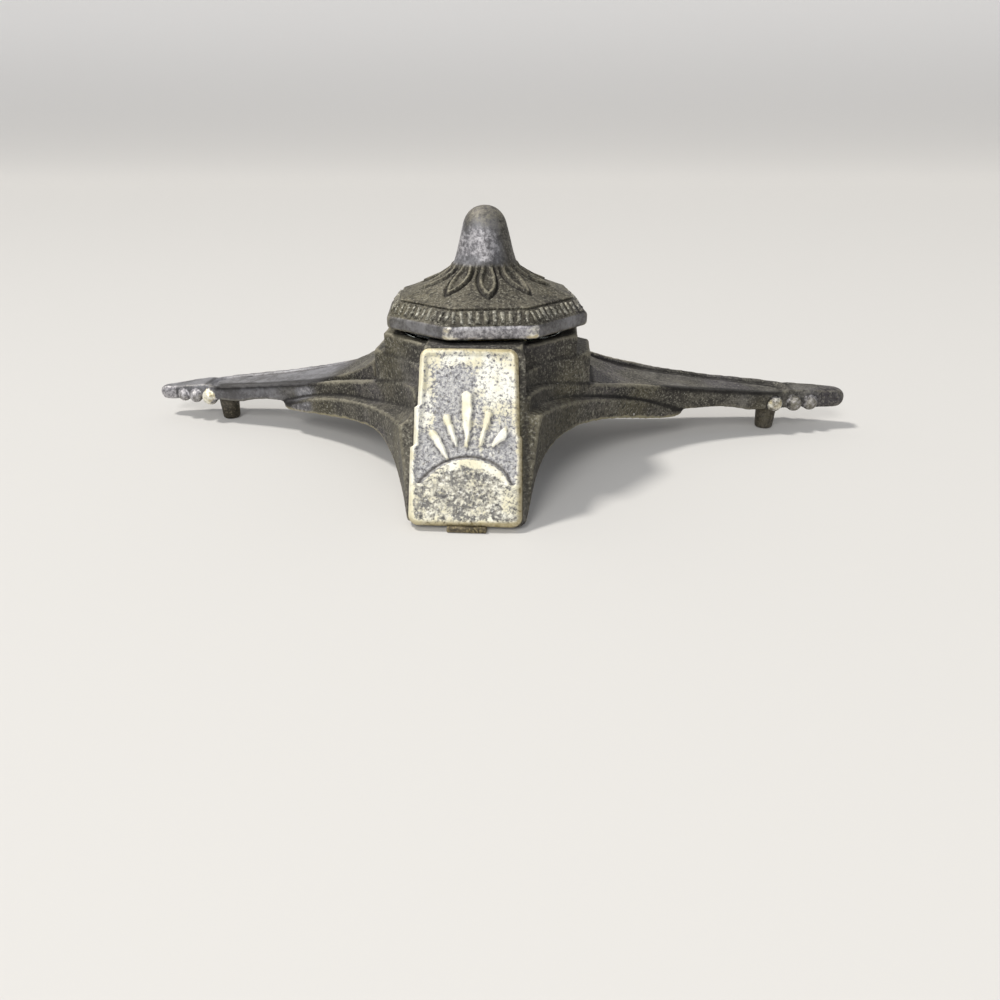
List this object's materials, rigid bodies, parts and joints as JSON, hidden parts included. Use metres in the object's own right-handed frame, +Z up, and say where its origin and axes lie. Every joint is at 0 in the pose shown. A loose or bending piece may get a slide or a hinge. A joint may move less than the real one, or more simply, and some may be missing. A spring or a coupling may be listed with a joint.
{
  "type": "desk inkstand",
  "caption": "Low cast metal desk inkstand: two swept wings, a sloping front panel with a relief sun, round feet, a lift-out glass ink cup and a loose eight-sided lid with a knob.",
  "frame": {"origin": "centre of the base of the box round the whole object, on the table", "axes": "+X along the wings, -Y towards the writer and the sun panel, +Z up"},
  "size_m": [0.2064, 0.0822, 0.0627],
  "materials": {
    "casting": "dark brown patina, worn bright on edges and on the sun panel",
    "front_foot": "dull worn metal",
    "peg": "dark patina",
    "glass": "clear pressed glass",
    "lid": "dark granular patina, worn on the rim",
    "lid_ring": "dull yellow metal"
  },
  "bodies": {
    "base": {"base_casting": "casting", "front_foot": "front_foot", "left_peg": "peg", "right_peg": "peg"},
    "cup": {"ink_cup": "glass"},
    "lid": {"lid": "lid", "lid_ring": "lid_ring"}
  },
  "joints": [
    {"name": "cup_lift", "type": "slide", "parent": "base", "child": "cup", "axis": [0, 0, 1], "range_m": [0, 0.06]},
    {"name": "lid_lift", "type": "slide", "parent": "cup", "child": "lid", "axis": [0, 0, 1], "range_m": [0, 0.05]}
  ]
}
